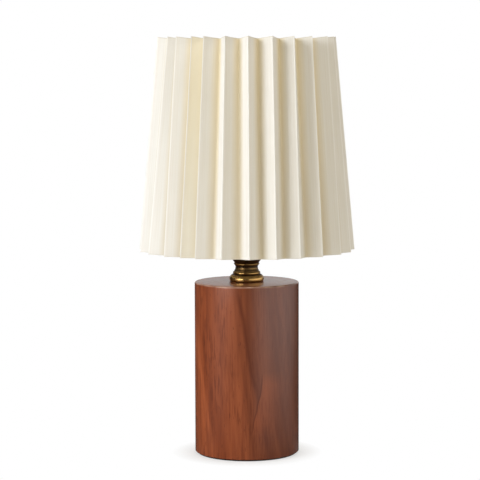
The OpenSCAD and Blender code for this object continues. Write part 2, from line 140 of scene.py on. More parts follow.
# %% Nodes in one line each
def add_node(tree, kind, inputs=None, **settings):
    """Add a node to a tree. An input is a plain value or the socket that feeds it."""
    node = tree.nodes.new(kind)
    for key, value in settings.items():
        setattr(node, key, value)
    for socket, value in (inputs or {}).items():
        if isinstance(value, bpy.types.NodeSocket):
            tree.links.new(value, node.inputs[socket])
        else:
            node.inputs[socket].default_value = value
    return node


def math_node(tree, operation, first, second=0.0):
    """One step of arithmetic, as the socket that holds its result."""
    return add_node(tree, "ShaderNodeMath", {0: first, 1: second}, operation=operation).outputs[0]


def mix_colour(tree, share, first, second):
    """Two colours mixed by a share, as the socket that holds the result."""
    inputs = {"Factor": share, "A": first, "B": second}
    return add_node(tree, "ShaderNodeMix", inputs, data_type="RGBA").outputs["Result"]


def map_range(tree, value, low, high, new_low=0.0, new_high=1.0):
    """A value moved from one range to another and held inside it."""
    node = add_node(
        tree, "ShaderNodeMapRange",
        {"Value": value, "From Min": low, "From Max": high, "To Min": new_low, "To Max": new_high},
    )
    return node.outputs["Result"]


def seen_directly(tree):
    """1 for the rays that see a thing directly, in a polished surface or through glass."""
    path = add_node(tree, "ShaderNodeLightPath")
    either = math_node(tree, "MAXIMUM", path.outputs["Is Camera Ray"], path.outputs["Is Glossy Ray"])
    return math_node(tree, "MAXIMUM", either, path.outputs["Is Transmission Ray"])


# %% [markdown]
# The studio is white paper. A white world would drown the folds of the shade in light, so the
# world is white only where it is seen, and a dimmer, warm grey where it lights things.
# The floor does the same, and fades to plain white before its rim, so that no horizon shows and
# only a soft shadow stays round the foot. From underneath the floor is clear, so that the foot
# and the shade's inside can be seen from below.

# %% The world
FILL_STRENGTH = 0.25
FILL_COLOUR = (1.0, 0.925, 0.720, 1.0)
WHITE = (1.0, 1.0, 1.0, 1.0)

world = bpy.data.worlds.new("White_studio")
bpy.context.scene.world = world
world.use_nodes = True
sky = world.node_tree
sky_fill = sky.nodes["Background"]
sky_fill.inputs["Color"].default_value = FILL_COLOUR
sky_fill.inputs["Strength"].default_value = FILL_STRENGTH
sky_white = add_node(sky, "ShaderNodeBackground", {"Color": WHITE, "Strength": 1.0})
sky_mix = add_node(
    sky, "ShaderNodeMixShader",
    {0: seen_directly(sky), 1: sky_fill.outputs[0], 2: sky_white.outputs[0]},
)
sky.links.new(sky_mix.outputs[0], sky.nodes["World Output"].inputs["Surface"])

# %% The floor
FLOOR_RADIUS = 2.5
FLOOR_DROP = 0.05 * MM
SHADOW_REACH = (0.048, 0.070)
SHADOW_DEPTH = 0.42
PAPER_GREY = (0.86, 0.86, 0.86, 1.0)

bpy.ops.object.select_all(action="DESELECT")
bpy.ops.mesh.primitive_circle_add(
    vertices=64, radius=FLOOR_RADIUS, fill_type="NGON", location=(0, 0, -FLOOR_DROP)
)
floor = adopt("Floor")
floor_paint = bpy.data.materials.new("Floor_paper")
floor_paint.use_nodes = True
paper = floor_paint.node_tree
paper_shader = paper.nodes["Principled BSDF"]
for label, value in (("Base Color", PAPER_GREY), ("Roughness", 1.0), ("Specular IOR Level", 0.0)):
    paper_shader.inputs[label].default_value = value
paper_place = add_node(paper, "ShaderNodeTexCoord")
paper_reach = add_node(paper, "ShaderNodeVectorMath", {0: paper_place.outputs["Object"]}, operation="LENGTH")
paper_fade = map_range(paper, paper_reach.outputs["Value"], *SHADOW_REACH, 1.0 - SHADOW_DEPTH, 1.0)
paper_white = add_node(paper, "ShaderNodeEmission", {"Color": WHITE, "Strength": 1.0})
paper_mix = add_node(
    paper, "ShaderNodeMixShader",
    {
        0: math_node(paper, "MULTIPLY", seen_directly(paper), paper_fade),
        1: paper_shader.outputs[0],
        2: paper_white.outputs[0],
    },
)
paper_side = add_node(paper, "ShaderNodeNewGeometry")
paper_clear = add_node(paper, "ShaderNodeBsdfTransparent")
paper_floor = add_node(
    paper, "ShaderNodeMixShader",
    {0: paper_side.outputs["Backfacing"], 1: paper_mix.outputs[0], 2: paper_clear.outputs[0]},
)
paper.links.new(paper_floor.outputs[0], paper.nodes["Material Output"].inputs["Surface"])
floor.data.materials.append(floor_paint)

# %% [markdown]
# The folds read by their light and dark sides, so the lamps matter as much as the cloth. A soft
# box stands to the left of the camera, high enough that its light slips over the top of each
# ridge. A second one hangs above. Two panels are weaker: a warm one near the camera opens the
# shadows, and one behind lights the back. A lamp's power follows from how bright its surface
# looks and how large it is.

# %% The lamps
AIM = Vector((0, 0, 0.2))
LAMP_DISTANCE = 1.8
SQUARE, WIDE = (0.9, 0.9), (1.4, 0.9)


def from_azimuth(azimuth, elevation):
    """A place round the object. Azimuth 0 is the camera's side, and it grows to the right."""
    a, e = math.radians(azimuth), math.radians(elevation)
    return AIM + LAMP_DISTANCE * Vector(
        (math.sin(a) * math.cos(e), -math.cos(a) * math.cos(e), math.sin(e))
    )


def softbox(name, azimuth, elevation, size, radiance, tint):
    """A rectangular lamp that faces the object, as bright per area as radiance says."""
    place = from_azimuth(azimuth, elevation)
    bpy.ops.object.light_add(type="AREA", location=place)
    lamp = adopt(name)
    lamp.rotation_mode = "QUATERNION"
    lamp.rotation_quaternion = (AIM - place).to_track_quat("-Z", "Y")
    lamp.data.shape = "RECTANGLE"
    lamp.data.size, lamp.data.size_y = size
    lamp.data.energy = radiance * math.pi * size[0] * size[1]
    lamp.data.color = tint
    return lamp


softbox("Key_softbox", -57, 24, SQUARE, 7.6, (0.985, 1.0, 1.03))
softbox("Front_panel", 25, 15, SQUARE, 1.0, (1.0, 0.78, 0.30)).visible_glossy = False
softbox("Top_light", 60, 75, SQUARE, 5.6, (1.0, 0.975, 1.0))
softbox("Back_panel", 175, 20, WIDE, 3.0, (1.0, 0.97, 0.92))

# %% [markdown]
# Lacquer and brass mirror whatever stands round them, and white paper on all sides would wash
# their colour out. Photographers stand dark card round such things, with a light panel where
# they want a sheen. Here a ring of card and a disc under it glow faintly and only reflections
# see them. They are dark but for a bright panel to the left of the camera, a broad one to the
# right, and a pale one high up behind, which the column's top face mirrors.

# %% The card
CARD_RADIUS = 0.42
CARD_HEIGHT = 0.40
CARD_SPLIT = 0.17
CARD_PANELS = 120
CARD_FLOOR = [
    (-100, 0.02), (-80, 0.18), (-58, 0.32), (-38, 0.06), (5, 0.06), (30, 0.75), (90, 0.70), (125, 0.05),
]
CARD_LOW = [
    (-105, 0.03), (-85, 0.12), (-58, 0.45), (-35, 0.20), (-12, 0.02),
    (4, 0.10), (22, 0.85), (40, 1.45), (82, 1.40), (108, 0.75), (128, 0.20), (142, 0.03),
]
CARD_HIGH = [
    (-180, 0.58), (-155, 0.42), (-141, 0.34), (-138, 0.08), (-66, 0.08), (-63, 6.0), (-30, 6.0), (-27, 0.08),
    (15, 0.08), (19, 1.6), (96, 1.6), (128, 0.6), (138, 0.10), (141, 0.66), (180, 0.58),
]


def curve(points, place):
    """The value at a place on a curve of (place, value) points, held level beyond its ends."""
    if place <= points[0][0]:
        return points[0][1]
    for (low, first), (high, second) in zip(points, points[1:]):
        if place <= high:
            return first + (second - first) * (place - low) / (high - low)
    return points[-1][1]


def card_glow(point):
    """How bright the card is at one of its points."""
    azimuth = math.degrees(math.atan2(point.x, -point.y))
    if point.z > CARD_SPLIT + MM:
        return curve(CARD_HIGH, azimuth)
    return curve(CARD_LOW if point.z > CARD_SPLIT / 2 else CARD_FLOOR, azimuth)


# %% Stand the card round the lamp
bpy.ops.object.select_all(action="DESELECT")
bpy.ops.mesh.primitive_cylinder_add(
    vertices=CARD_PANELS, radius=CARD_RADIUS, depth=CARD_HEIGHT, end_fill_type="TRIFAN",
    location=(0, 0, CARD_HEIGHT / 2 + MM),
)
card = settle(adopt("Studio_card"))
edit_faces(card, lambda face: face.center.z > CARD_HEIGHT)
bpy.ops.mesh.delete(type="FACE")
for level in (0.6 * CARD_SPLIT, CARD_SPLIT, CARD_SPLIT + 2 * MM):
    bpy.ops.mesh.select_all(action="SELECT")
    bpy.ops.mesh.bisect(plane_co=(0, 0, level), plane_no=(0, 0, 1))
bpy.ops.object.mode_set(mode="OBJECT")
card_glows = card.data.attributes.new("glow", "FLOAT", "POINT")
card_glows.data.foreach_set("value", [card_glow(point.co) for point in card.data.vertices])

card_paint = bpy.data.materials.new("Glowing_card")
card_paint.use_nodes = True
card_tree = card_paint.node_tree
card_share = add_node(card_tree, "ShaderNodeAttribute", attribute_name="glow").outputs["Fac"]
card_light = add_node(card_tree, "ShaderNodeEmission", {"Color": WHITE, "Strength": card_share})
card_tree.links.new(card_light.outputs[0], card_tree.nodes["Material Output"].inputs["Surface"])
card.data.materials.append(card_paint)
card.visible_camera = False
card.visible_diffuse = False
card.visible_transmission = False
card.visible_shadow = False
print("The card has", len(card.data.polygons), "faces")

# %% [markdown]
# ## Patterns that several finishes share
# A node group is a pattern made once and used in many materials with other numbers. The groups
# here put out only masks and heights. Each material turns them into colour and roughness.


# %% Start a group
def start_group(name, inputs, outputs):
    """A shader node group. Inputs are {name: default}, and outputs a list of names."""
    group = bpy.data.node_groups.new(name, "ShaderNodeTree")
    sockets = group.interface
    sockets.new_socket("Vector", in_out="INPUT", socket_type="NodeSocketVector")
    for label, default in inputs.items():
        socket = sockets.new_socket(label, in_out="INPUT", socket_type="NodeSocketFloat")
        socket.default_value = default
    for label in outputs:
        sockets.new_socket(label, in_out="OUTPUT", socket_type="NodeSocketFloat")
    return group, add_node(group, "NodeGroupInput"), add_node(group, "NodeGroupOutput")


def noise(tree, vector, scale, detail=3.0, roughness=0.5):
    """Smooth noise from 0 to 1."""
    node = add_node(
        tree, "ShaderNodeTexNoise",
        {"Vector": vector, "Scale": scale, "Detail": detail, "Roughness": roughness},
    )
    return node.outputs["Fac"]


def stretched(tree, vector, scale):
    """Coordinates multiplied per axis, so that a pattern runs long along a small number."""
    node = add_node(tree, "ShaderNodeVectorMath", {0: vector, 1: scale}, operation="MULTIPLY")
    return node.outputs["Vector"]


# %% Mottle, for moulded, painted and cast surfaces
mottle, mottle_in, mottle_out = start_group("Mottle", {"Scale": 60.0}, ["Tone", "Grain"])
mottle_tone = noise(mottle, mottle_in.outputs["Vector"], mottle_in.outputs["Scale"], 4.0)
mottle_fine = math_node(mottle, "MULTIPLY", mottle_in.outputs["Scale"], 14.0)
mottle_grain = noise(mottle, mottle_in.outputs["Vector"], mottle_fine, 2.0)
mottle.links.new(map_range(mottle, mottle_tone, 0.3, 0.7), mottle_out.inputs["Tone"])
mottle.links.new(mottle_grain, mottle_out.inputs["Grain"])


# %% Begin a material
def start_material(name, **plain):
    """A material with a Principled shader. Underscores in a name stand for spaces."""
    material = bpy.data.materials.new(name)
    material.use_nodes = True
    shader = material.node_tree.nodes["Principled BSDF"]
    for label, value in plain.items():
        shader.inputs[label.replace("_", " ")].default_value = value
    return material, material.node_tree, shader


def object_place(tree):
    """Where a point of the surface is, in metres."""
    return add_node(tree, "ShaderNodeTexCoord").outputs["Object"]


def add_bump(tree, shader, height, distance):
    """Small relief: a height from 0 to 1 that stands for a real distance."""
    bump = add_node(tree, "ShaderNodeBump", {"Height": height, "Distance": distance, "Strength": 1.0})
    tree.links.new(bump.outputs["Normal"], shader.inputs["Normal"])


def mottled_material(name, dark, light, rough, scale, relief=0.02 * MM, **plain):
    """A finish with a little cloudiness in colour and gloss, and a fine grain."""
    material, tree, shader = start_material(name, **plain)
    inputs = {"Vector": object_place(tree), "Scale": scale}
    pattern = add_node(tree, "ShaderNodeGroup", inputs, node_tree=mottle)
    tone, grain = pattern.outputs["Tone"], pattern.outputs["Grain"]
    tree.links.new(mix_colour(tree, tone, dark, light), shader.inputs["Base Color"])
    tree.links.new(map_range(tree, tone, 0.0, 1.0, *rough), shader.inputs["Roughness"])
    add_bump(tree, shader, grain, relief)
    return material


# %% [markdown]
# ## The wooden column
# The base is one block of red-brown stained wood, turned on a lathe and lacquered. Growth rings
# are cylinders round the tree's heart. The heart lies to the right of the block and leans, so
# the rings cut its front as long lines that run almost straight up, and its top as arcs. Noise
# over the distance from the heart makes rings of uneven width. Near the heart the wood is
# painted darker: partly the heartwood's own tone, and partly painted shade on the right side,
# away from the key light. Streaks, fine lines and a few short dark flecks, the cut pores, run up
# through it all.
# Two late rings stand out on the front and lean opposite ways. The top face is painted lighter
# and warmer, as painted light where the shade above keeps the lamps off it, and a painted
# highlight runs pale along its rim.

# %% The figure of the wood
wood_figure, figure_in, figure_out = start_group(
    "Wood_figure", {"Heart X": 0.088, "Heart Y": -0.030, "Lean": 0.15},
    ["Heart", "Bands", "Streaks", "Lines", "Flecks"],
)
figure_place = figure_in.outputs["Vector"]
warp = noise(wood_figure, stretched(wood_figure, figure_place, (22.0, 22.0, 7.0)), 1.0, 2.0)
warp_depth = math_node(wood_figure, "MULTIPLY", math_node(wood_figure, "SUBTRACT", warp, 0.5), 0.020)
figure_xyz = add_node(wood_figure, "ShaderNodeSeparateXYZ", {0: figure_place})
leaning = math_node(wood_figure, "MULTIPLY", figure_xyz.outputs["Z"], figure_in.outputs["Lean"])
across = math_node(
    wood_figure, "ADD", math_node(wood_figure, "ADD", leaning, warp_depth),
    math_node(wood_figure, "SUBTRACT", figure_xyz.outputs["X"], figure_in.outputs["Heart X"]),
)
behind = math_node(wood_figure, "SUBTRACT", figure_in.outputs["Heart Y"], figure_xyz.outputs["Y"])
heart_line = add_node(wood_figure, "ShaderNodeCombineXYZ", {"X": across, "Y": behind})
heart_reach = add_node(wood_figure, "ShaderNodeVectorMath", {0: heart_line.outputs[0]}, operation="LENGTH")
ring_place = add_node(
    wood_figure, "ShaderNodeCombineXYZ", {"X": heart_reach.outputs["Value"], "Y": figure_xyz.outputs["Z"]}
)
bands = noise(wood_figure, stretched(wood_figure, ring_place.outputs[0], (95.0, 3.0, 1.0)), 1.0, 2.0)
streaks = noise(wood_figure, stretched(wood_figure, figure_place, (300.0, 300.0, 14.0)), 1.0, 4.0, 0.6)
lines = noise(wood_figure, stretched(wood_figure, figure_place, (900.0, 900.0, 60.0)), 1.0, 2.0, 0.6)
patches = noise(wood_figure, stretched(wood_figure, figure_place, (55.0, 55.0, 16.0)), 1.0, 1.0)
patchy_lines = math_node(
    wood_figure, "MULTIPLY", map_range(wood_figure, lines, 0.50, 0.62),
    map_range(wood_figure, patches, 0.38, 0.58),
)
flecks = noise(wood_figure, stretched(wood_figure, figure_place, (950.0, 950.0, 110.0)), 1.0, 1.0)
wood_figure.links.new(
    map_range(wood_figure, heart_reach.outputs["Value"], 0.115, 0.055), figure_out.inputs["Heart"]
)
wood_figure.links.new(map_range(wood_figure, bands, 0.36, 0.64), figure_out.inputs["Bands"])
wood_figure.links.new(map_range(wood_figure, streaks, 0.44, 0.62), figure_out.inputs["Streaks"])
wood_figure.links.new(patchy_lines, figure_out.inputs["Lines"])
wood_figure.links.new(map_range(wood_figure, flecks, 0.72, 0.77), figure_out.inputs["Flecks"])

# %% The stained and lacquered wood
WOOD_LIGHT = (0.440, 0.112, 0.038, 1.0)
WOOD_DARK = (0.270, 0.062, 0.020, 1.0)
WOOD_HEART_AND_SHADE = (0.085, 0.036, 0.022, 1.0)
WOOD_STREAK = (0.150, 0.032, 0.012, 1.0)
WOOD_LINE = (0.100, 0.022, 0.009, 1.0)
WOOD_FLECK = (0.040, 0.012, 0.008, 1.0)
WOOD_TOP_LIGHT = (0.470, 0.170, 0.080, 1.0)
WOOD_RIM_HIGHLIGHT = (0.640, 0.400, 0.290, 1.0)
RIM_WIDTH = 1.5 * MM
LATE_RINGS = {
    "upper": ((6.6 * MM, 70 * MM), (-6.8 * MM, 148 * MM), 3.0 * MM),
    "lower": ((6.2 * MM, 34 * MM), (13.1 * MM, 70 * MM), 0.9 * MM),
}
RING_FADE = 12 * MM
RING_WAVER = 5 * MM
PALE_REACH = (24 * MM, 6 * MM)
HEART_AND_SHADE_SHARE, PALE_SHARE, RING_SHARE, TOP_LIGHT_SHARE = 0.58, 0.45, 0.65, 0.7
WOOD_ROUGHNESS = (0.36, 0.46)

stained_wood, wood_tree, wood_shader = start_material(
    "Stained_wood", Specular_IOR_Level=0.05, Coat_Weight=1.0, Coat_Roughness=0.21, Coat_IOR=1.5
)
wood_place = object_place(wood_tree)
wood_xyz = add_node(wood_tree, "ShaderNodeSeparateXYZ", {0: wood_place}).outputs
wood_pattern = add_node(wood_tree, "ShaderNodeGroup", {"Vector": wood_place}, node_tree=wood_figure)
wood_low, wood_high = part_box("wood_base")


def beside_ring(tree, low_end, high_end):
    """How far right of a leaning line a point is, and a mask that fades past the line's ends."""
    (low_x, low_z), (high_x, high_z) = low_end, high_end
    lean = (high_x - low_x) / (high_z - low_z)
    line_x = math_node(tree, "MULTIPLY", math_node(tree, "SUBTRACT", wood_xyz["Z"], low_z), lean)
    waver = noise(tree, stretched(tree, wood_place, (25.0, 25.0, 40.0)), 1.0, 2.0)
    waver = math_node(tree, "MULTIPLY", math_node(tree, "SUBTRACT", waver, 0.5), RING_WAVER)
    aside = math_node(tree, "SUBTRACT", math_node(tree, "SUBTRACT", wood_xyz["X"], line_x), low_x)
    above = map_range(tree, wood_xyz["Z"], low_z - RING_FADE, low_z)
    below = map_range(tree, wood_xyz["Z"], high_z + RING_FADE, high_z)
    front = map_range(tree, wood_xyz["Y"], 0.0, -RING_FADE)
    mask = math_node(tree, "MULTIPLY", math_node(tree, "MULTIPLY", above, below), front)
    return math_node(tree, "ADD", aside, waver), mask


# %% Lay the colours of the wood over each other
calm = map_range(wood_tree, wood_pattern.outputs["Heart"], 0.25, 0.85, 1.0, 0.45)
wood_colour = mix_colour(wood_tree, wood_pattern.outputs["Bands"], WOOD_DARK, WOOD_LIGHT)
# Near the heart the wood is painted darker: the heartwood's own tone and painted shade on the right side.
heart_and_shade_share = math_node(wood_tree, "MULTIPLY", wood_pattern.outputs["Heart"], HEART_AND_SHADE_SHARE)
wood_colour = mix_colour(wood_tree, heart_and_shade_share, wood_colour, WOOD_HEART_AND_SHADE)
lower_aside, lower_mask = beside_ring(wood_tree, *LATE_RINGS["lower"][:2])
pale_side = math_node(
    wood_tree, "MULTIPLY", map_range(wood_tree, lower_aside, 0.0, MM),
    map_range(wood_tree, lower_aside, *PALE_REACH),
)
pale_mask = math_node(wood_tree, "MULTIPLY", pale_side, lower_mask)
pale_share = math_node(wood_tree, "MULTIPLY", pale_mask, PALE_SHARE)
wood_colour = mix_colour(wood_tree, pale_share, wood_colour, WOOD_LIGHT)
for mark, depth, tint in (
    ("Streaks", 0.45, WOOD_STREAK), ("Lines", 0.60, WOOD_LINE), ("Flecks", 0.75, WOOD_FLECK),
):
    share = math_node(wood_tree, "MULTIPLY", wood_pattern.outputs[mark], depth)
    share = math_node(wood_tree, "MULTIPLY", share, calm)
    wood_colour = mix_colour(wood_tree, share, wood_colour, tint)
for low_end, high_end, width in LATE_RINGS.values():
    aside, mask = beside_ring(wood_tree, low_end, high_end)
    near = map_range(wood_tree, math_node(wood_tree, "ABSOLUTE", aside), width, 0.0, 0.0, RING_SHARE)
    share = math_node(wood_tree, "MULTIPLY", near, mask)
    wood_colour = mix_colour(wood_tree, share, wood_colour, WOOD_LINE)
# Painted light: the flat top face is painted lighter and warmer, as the shade above keeps most of the lamps'
# light off it.
top_painted_light = map_range(
    wood_tree, wood_xyz["Z"], wood_high.z - 0.3 * MM, wood_high.z - 0.1 * MM, 0.0, TOP_LIGHT_SHARE
)
wood_colour = mix_colour(wood_tree, top_painted_light, wood_colour, WOOD_TOP_LIGHT)
wood_axis = stretched(wood_tree, wood_place, (1.0, 1.0, 0.0))
rim_reach = add_node(wood_tree, "ShaderNodeVectorMath", {0: wood_axis}, operation="LENGTH").outputs["Value"]
# Painted highlight: a pale line along the top rim, broken into patches by noise.
rim = math_node(
    wood_tree, "MULTIPLY",
    map_range(wood_tree, rim_reach, wood_high.x - RIM_WIDTH, wood_high.x - RIM_WIDTH / 2),
    map_range(wood_tree, wood_xyz["Z"], wood_high.z - RIM_WIDTH, wood_high.z - RIM_WIDTH / 2),
)
rim_highlight_patches = map_range(wood_tree, noise(wood_tree, wood_place, 90.0), 0.35, 0.60, 0.15, 0.75)
rim_highlight = math_node(wood_tree, "MULTIPLY", rim, rim_highlight_patches)
wood_colour = mix_colour(wood_tree, rim_highlight, wood_colour, WOOD_RIM_HIGHLIGHT)
wood_tree.links.new(wood_colour, wood_shader.inputs["Base Color"])
wood_tree.links.new(
    map_range(wood_tree, wood_pattern.outputs["Streaks"], 0.0, 1.0, *WOOD_ROUGHNESS),
    wood_shader.inputs["Roughness"],
)
add_bump(
    wood_tree, wood_shader,
    math_node(wood_tree, "SUBTRACT", wood_pattern.outputs["Streaks"], wood_pattern.outputs["Flecks"]),
    0.015 * MM,
)

# %% [markdown]
# A lathe makes a round shape from one outline. Blender's lathe is the Spin operator. The outline
# starts as a circle with as many points as it needs, which are then set to their radius and
# height.


# %% The lathe
def arc(centre_x, centre_z, radius, start, end, steps):
    """Points along an arc in the outline's plane, with its angles in degrees."""
    angles = [math.radians(start + (end - start) * i / steps) for i in range(steps + 1)]
    return [(centre_x + radius * math.cos(a), centre_z + radius * math.sin(a)) for a in angles]


SMOOTH_ANGLE = 35


def turn(name, outline, steps, smooth=SMOOTH_ANGLE):
    """Spin a closed outline of (radius, height) points round the Z axis."""
    bpy.ops.object.select_all(action="DESELECT")
    bpy.ops.mesh.primitive_circle_add(vertices=len(outline))
    piece = adopt(name)
    for vertex, (radius, height) in zip(piece.data.vertices, outline):
        vertex.co = (radius, 0, height)
    bpy.ops.object.mode_set(mode="EDIT")
    bpy.ops.mesh.select_all(action="SELECT")
    bpy.ops.mesh.spin(steps=steps, angle=2 * math.pi, center=(0, 0, 0), axis=(0, 0, 1))
    bpy.ops.mesh.select_all(action="SELECT")
    bpy.ops.mesh.remove_doubles(threshold=0.001 * MM)
    bpy.ops.mesh.delete_loose(use_verts=True, use_edges=True, use_faces=False)
    bpy.ops.mesh.select_all(action="SELECT")
    bpy.ops.mesh.normals_make_consistent(inside=False)
    bpy.ops.object.mode_set(mode="OBJECT")
    bpy.ops.object.shade_smooth_by_angle(angle=math.radians(smooth))
    print(name, "has", len(piece.data.polygons), "faces")
    return piece


def dress(piece, body, slot, material, *nodes):
    """Give a piece its finish, let it ride on its body and stand for its solids."""
    piece.data.materials.clear()
    piece.data.materials.append(material)
    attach(piece, body)
    if nodes:
        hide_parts(*nodes)
    return piece


# %% Turn the column
EDGE_ROUND = 1.5 * MM
FOOT_CHAMFER = 0.6 * MM
RECESS_RADIUS = 18 * MM
RECESS_TOP = 25.4 * MM
TUBE_HOLE = 5.3 * MM
INLET_HEIGHT = 12 * MM
STEM_HOLE = 4.85 * MM
SPOT_FACE_RADIUS = 7.8 * MM
FLANGE_THICKNESS = 2.0 * MM
COLUMN_STEPS = 160

wood_radius = wood_high.x
bushing_low, bushing_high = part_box("cord_bushing")
spot_face_depth = bushing_high.y - FLANGE_THICKNESS
column_outline = [
    (RECESS_RADIUS, wood_low.z),
    (wood_radius - FOOT_CHAMFER, wood_low.z),
    (wood_radius, wood_low.z + FOOT_CHAMFER),
    (wood_radius, 2 * INLET_HEIGHT),
    (wood_radius, 3 * INLET_HEIGHT),
    *arc(wood_radius - EDGE_ROUND, wood_high.z - EDGE_ROUND, EDGE_ROUND, 0, 90, 8),
    (TUBE_HOLE, wood_high.z),
    (TUBE_HOLE, RECESS_TOP),
    (RECESS_RADIUS, RECESS_TOP),
]
column = turn("Wooden_column", column_outline, steps=COLUMN_STEPS)


# %% Bore the cord inlet
DRILL_BACK, DRILL_OVERRUN = 3 * MM, 5 * MM


def bore(piece, radius, start, end, height):
    """Cut a round hole along Y, from one distance to the other."""
    bpy.ops.object.select_all(action="DESELECT")
    bpy.ops.mesh.primitive_cylinder_add(
        vertices=64, radius=radius, depth=end - start,
        location=(0, (start + end) / 2, height), rotation=(math.pi / 2, 0, 0),
    )
    drill = adopt("Drill")
    apply_modifier(piece, "BOOLEAN", object=drill, operation="DIFFERENCE", solver="EXACT")
    bpy.data.objects.remove(drill)


bore(column, STEM_HOLE, RECESS_RADIUS - DRILL_BACK, wood_radius + DRILL_OVERRUN, INLET_HEIGHT)
bore(column, SPOT_FACE_RADIUS, spot_face_depth, wood_radius + DRILL_OVERRUN, INLET_HEIGHT)
pick(column)
bpy.ops.object.shade_smooth_by_angle(angle=math.radians(SMOOTH_ANGLE))
dress(column, "root", "stained_wood", stained_wood, "wood_base")

# %% [markdown]
# ## The brass neck
# The neck is turned brass with a swelling foot, a bead, a waist, a thin collar and a cup. It is
# antiqued: dark stain sits in the hollows, and the brass is rubbed bright where it swells. On a
# turned piece the hollows are known by their height, so a colour ramp along Z sets the stain.

# %% The aged brass
BRASS_BRIGHT = (0.62, 0.37, 0.12, 1.0)
BRASS_STAIN = (0.050, 0.036, 0.024, 1.0)
BRASS_MOTTLE = 130.0
BRASS_ROUGHNESS = (0.42, 0.22)
neck_low, neck_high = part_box("brass_neck")
NECK_WEAR = [
    (0.0, 0.20), (0.8, 0.45), (2.2, 0.9), (5.4, 0.8), (6.8, 0.08), (8.3, 0.85), (9.3, 0.5),
    (10.6, 0.15), (12.4, 0.36), (13.8, 0.04), (15.3, 0.06), (16.5, 0.75), (17.8, 0.06),
    (23.5, 0.10), (25.0, 0.6), (27.0, 0.5),
]

aged_brass, brass_tree, brass_shader = start_material("Aged_brass", Metallic=1.0)
brass_place = object_place(brass_tree)
brass_height = add_node(brass_tree, "ShaderNodeSeparateXYZ", {0: brass_place}).outputs["Z"]
neck_share = map_range(brass_tree, brass_height, neck_low.z, neck_high.z)
wear_ramp = add_node(brass_tree, "ShaderNodeValToRGB", {"Fac": neck_share})
neck_height = (neck_high.z - neck_low.z) / MM
for place, wear in NECK_WEAR[1:-1]:
    wear_ramp.color_ramp.elements.new(place / neck_height)
for element, (place, wear) in zip(wear_ramp.color_ramp.elements, NECK_WEAR):
    element.position = place / neck_height
    element.color = (wear, wear, wear, 1.0)
brass_pattern = add_node(
    brass_tree, "ShaderNodeGroup", {"Vector": brass_place, "Scale": BRASS_MOTTLE}, node_tree=mottle
)
rubbed = math_node(
    brass_tree, "MULTIPLY", wear_ramp.outputs["Color"],
    map_range(brass_tree, brass_pattern.outputs["Tone"], 0.0, 1.0, 0.7, 1.1),
)
brass_tree.links.new(
    mix_colour(brass_tree, rubbed, BRASS_STAIN, BRASS_BRIGHT), brass_shader.inputs["Base Color"]
)
brass_tree.links.new(
    map_range(brass_tree, rubbed, 0.0, 1.0, *BRASS_ROUGHNESS), brass_shader.inputs["Roughness"]
)
add_bump(brass_tree, brass_shader, brass_pattern.outputs["Grain"], 0.01 * MM)

# %% Turn the neck
FOOT_RADIUS = 16.0 * MM
FOOT_ROUND = 4.5 * MM
FOOT_HEIGHT = 2.6 * MM
FOOT_UNDERCUT = 30
BEAD_RADIUS = 12.75 * MM
BEAD_ROUND = 1.5 * MM
BEAD_HEIGHT = 8.2 * MM
WAIST_RADIUS = 10.45 * MM
WAIST_HEIGHT = 12.8 * MM
COVE_ROUND = 3.0 * MM
FLARE_ROUND = 6.0 * MM
GROOVE = 0.35 * MM
GROOVE_RISE = 1.3 * MM
COLLAR_RADIUS = 11.1 * MM
COLLAR_HEIGHT = 16.5 * MM
COLLAR_ROUND = 0.75 * MM
CUP_RADIUS = 16.0 * MM
LIP_ROUND = 2.5 * MM
CUP_BORE = 10.4 * MM
CUP_FLOOR = 22.0 * MM


def neck_outline():
    """The neck's section, from the foot up to the lip and down inside the cup."""
    groove_z = WAIST_HEIGHT + GROOVE_RISE
    foot_side = FOOT_RADIUS - FOOT_ROUND * (1 - math.cos(math.radians(FOOT_UNDERCUT)))
    outline = [
        (TUBE_HOLE, 0),
        (foot_side - GROOVE, 0),
        (foot_side, GROOVE),
        *arc(FOOT_RADIUS - FOOT_ROUND, FOOT_HEIGHT, FOOT_ROUND, -FOOT_UNDERCUT, 66, 22),
        *arc(BEAD_RADIUS - BEAD_ROUND, BEAD_HEIGHT, BEAD_ROUND, -60, 80, 14),
        *arc(WAIST_RADIUS + COVE_ROUND, WAIST_HEIGHT, COVE_ROUND, 220, 185, 9),
        (WAIST_RADIUS, groove_z - 1.6 * GROOVE),
        (WAIST_RADIUS - GROOVE, groove_z - 0.5 * GROOVE),
        (WAIST_RADIUS - GROOVE, groove_z + 0.5 * GROOVE),
        *arc(WAIST_RADIUS + FLARE_ROUND, WAIST_HEIGHT, FLARE_ROUND, 163, 154, 6),
        *arc(COLLAR_RADIUS, COLLAR_HEIGHT, COLLAR_ROUND, -75, 100, 10),
        *arc(CUP_RADIUS - LIP_ROUND, neck_height * MM - LIP_ROUND, LIP_ROUND, -58, 90, 18),
        (CUP_BORE, neck_height * MM),
        (CUP_BORE, CUP_FLOOR),
        (TUBE_HOLE, CUP_FLOOR),
    ]
    return [(radius, neck_low.z + height) for radius, height in outline]


neck = turn("Brass_neck", neck_outline(), steps=128, smooth=50)
dress(neck, "root", "aged_brass", aged_brass, "brass_neck")

# %% [markdown]
# ## The pleated cover
# The cover is a strip of stiffened cloth, 81 cm long and 20 cm high, that was steamed into
# sharp folds and closed into a ring. The two ends lap on one narrow fold left of the front. The
# strip is a flat grid here too: each column of points knows how far along the strip it lies,
# and is then moved to its place on the folded ring. So the cloth keeps its real length, and its
# weave follows it through a UV map in metres.

